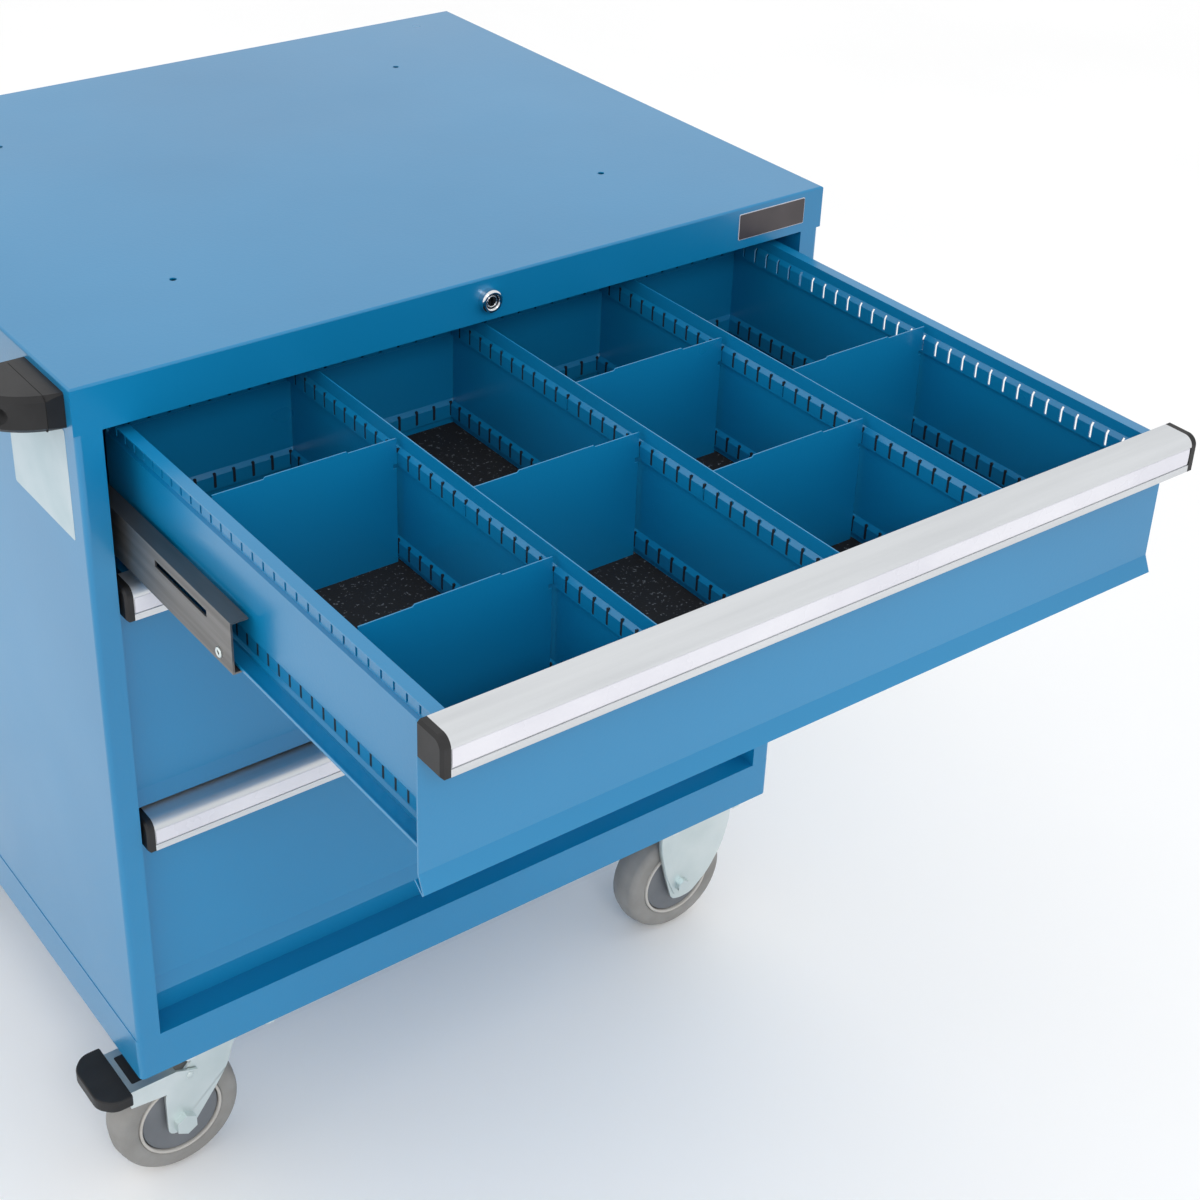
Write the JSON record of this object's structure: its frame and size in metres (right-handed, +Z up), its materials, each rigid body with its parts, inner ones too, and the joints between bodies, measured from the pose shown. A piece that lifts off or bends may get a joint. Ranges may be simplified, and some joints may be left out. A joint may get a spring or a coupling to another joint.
{
  "type": "modular drawer cabinet",
  "caption": "Steel drawer cabinet on casters with full-width handles, a divided top drawer pulled out, a push handle and a central lock.",
  "frame": {"origin": "on the floor under the middle of the cabinet body", "axes": "+X to the right seen from the front, +Y from the front to the back, +Z up"},
  "size_m": [0.7791, 1.05, 0.8325],
  "materials": {
    "blue_steel": "gloss",
    "slide_steel": "satin",
    "zinc_steel": "satin",
    "plated_steel": "gloss",
    "handle_aluminium": "satin",
    "black_plastic": "satin",
    "grey_rubber": "matte",
    "grey_plastic": "satin",
    "black_mat": "matte"
  },
  "bodies": {
    "cabinet": {"cap": "blue_steel", "left_side": "blue_steel", "right_side": "blue_steel", "back_panel": "blue_steel", "floor_panel": "blue_steel", "bottom_rail": "blue_steel", "base": "blue_steel", "fixed_rails": "slide_steel", "lock_housing": "plated_steel", "lock_guides": "zinc_steel", "handle_brackets": "black_plastic", "handle_tube": "black_plastic", "handle_screws": "plated_steel", "swivel_plates": "zinc_steel", "kingpins": "zinc_steel", "rigid_forks": "zinc_steel", "caster_bolts": "zinc_steel", "rigid_axles": "zinc_steel"},
    "lock_cylinder": {"lock_plug": "plated_steel", "lock_rod": "zinc_steel"},
    "lock_slide_bar": {"lock_bar": "zinc_steel"},
    "swivel_front": {"swivel_fork_front": "zinc_steel", "swivel_axle_front": "zinc_steel"},
    "brake_front": {"brake_lever_front": "zinc_steel", "brake_pad_front": "black_plastic"},
    "wheel_left_front": {"tyre_left_front": "grey_rubber", "core_left_front": "grey_plastic"},
    "wheel_right_front": {"tyre_right_front": "grey_rubber", "core_right_front": "grey_plastic"},
    "swivel_back": {"swivel_fork_back": "zinc_steel", "swivel_axle_back": "zinc_steel"},
    "brake_back": {"brake_lever_back": "zinc_steel", "brake_pad_back": "black_plastic"},
    "wheel_left_back": {"tyre_left_back": "grey_rubber", "core_left_back": "grey_plastic"},
    "wheel_right_back": {"tyre_right_back": "grey_rubber", "core_right_back": "grey_plastic"},
    "drawer_1": {"drawer_tray_1": "blue_steel", "drawer_front_1": "blue_steel", "drawer_handle_1": "handle_aluminium", "handle_ends_1": "black_plastic", "drawer_runners_1": "slide_steel", "drawer_partitions": "blue_steel", "drawer_dividers": "blue_steel", "drawer_mat": "black_mat"},
    "slide_1": {"mid_slides_1": "slide_steel"},
    "drawer_2": {"drawer_tray_2": "blue_steel", "drawer_front_2": "blue_steel", "drawer_handle_2": "handle_aluminium", "handle_ends_2": "black_plastic", "drawer_runners_2": "slide_steel"},
    "slide_2": {"mid_slides_2": "slide_steel"},
    "drawer_3": {"drawer_tray_3": "blue_steel", "drawer_front_3": "blue_steel", "drawer_handle_3": "handle_aluminium", "handle_ends_3": "black_plastic", "drawer_runners_3": "slide_steel"},
    "slide_3": {"mid_slides_3": "slide_steel"}
  },
  "joints": [
    {"name": "swivel_front_turn", "type": "hinge", "parent": "cabinet", "child": "swivel_front", "pos_m": [-0.267, -0.2575, 0.14], "axis": [0, 0, 1], "continuous": true},
    {"name": "wheel_left_front_roll", "type": "hinge", "parent": "swivel_front", "child": "wheel_left_front", "pos_m": [-0.312, -0.2575, 0.0625], "axis": [0, 1, 0], "continuous": true},
    {"name": "wheel_right_front_roll", "type": "hinge", "parent": "cabinet", "child": "wheel_right_front", "pos_m": [0.267, -0.2575, 0.0625], "axis": [0, 1, 0], "continuous": true},
    {"name": "brake_front_press", "type": "hinge", "parent": "swivel_front", "child": "brake_front", "pos_m": [-0.304, -0.2575, 0.118], "axis": [0, -1, 0], "range_deg": [0, 5]},
    {"name": "swivel_back_turn", "type": "hinge", "parent": "cabinet", "child": "swivel_back", "pos_m": [-0.267, 0.2575, 0.14], "axis": [0, 0, 1], "continuous": true},
    {"name": "wheel_left_back_roll", "type": "hinge", "parent": "swivel_back", "child": "wheel_left_back", "pos_m": [-0.312, 0.2575, 0.0625], "axis": [0, 1, 0], "continuous": true},
    {"name": "wheel_right_back_roll", "type": "hinge", "parent": "cabinet", "child": "wheel_right_back", "pos_m": [0.267, 0.2575, 0.0625], "axis": [0, 1, 0], "continuous": true},
    {"name": "brake_back_press", "type": "hinge", "parent": "swivel_back", "child": "brake_back", "pos_m": [-0.304, 0.2575, 0.118], "axis": [0, -1, 0], "range_deg": [0, 5]},
    {"name": "drawer_1_slide", "type": "slide", "parent": "cabinet", "child": "drawer_1", "axis": [0, -1, 0], "range_m": [-0.437, 0]},
    {"name": "mid_slides_1_travel", "type": "slide", "parent": "cabinet", "child": "slide_1", "axis": [0, -1, 0], "range_m": [-0.2185, 0]},
    {"name": "drawer_2_slide", "type": "slide", "parent": "cabinet", "child": "drawer_2", "axis": [0, -1, 0], "range_m": [0, 0.437]},
    {"name": "mid_slides_2_travel", "type": "slide", "parent": "cabinet", "child": "slide_2", "axis": [0, -1, 0], "range_m": [0, 0.2185]},
    {"name": "drawer_3_slide", "type": "slide", "parent": "cabinet", "child": "drawer_3", "axis": [0, -1, 0], "range_m": [0, 0.437]},
    {"name": "mid_slides_3_travel", "type": "slide", "parent": "cabinet", "child": "slide_3", "axis": [0, -1, 0], "range_m": [0, 0.2185]},
    {"name": "lock_turn", "type": "hinge", "parent": "cabinet", "child": "lock_cylinder", "pos_m": [0, -0.3035, 0.8135], "axis": [0, -1, 0], "range_deg": [0, 90]},
    {"name": "lock_bar_lift", "type": "slide", "parent": "cabinet", "child": "lock_slide_bar", "axis": [0, 0, 1], "range_m": [0, 0.00848]}
  ],
  "couplings": [
    {"joint": "mid_slides_1_travel", "follows": "drawer_1_slide", "ratio": 0.5},
    {"joint": "mid_slides_2_travel", "follows": "drawer_2_slide", "ratio": 0.5},
    {"joint": "mid_slides_3_travel", "follows": "drawer_3_slide", "ratio": 0.5},
    {"joint": "lock_turn", "follows": "lock_bar_lift", "rad_per_m": 185.12}
  ]
}
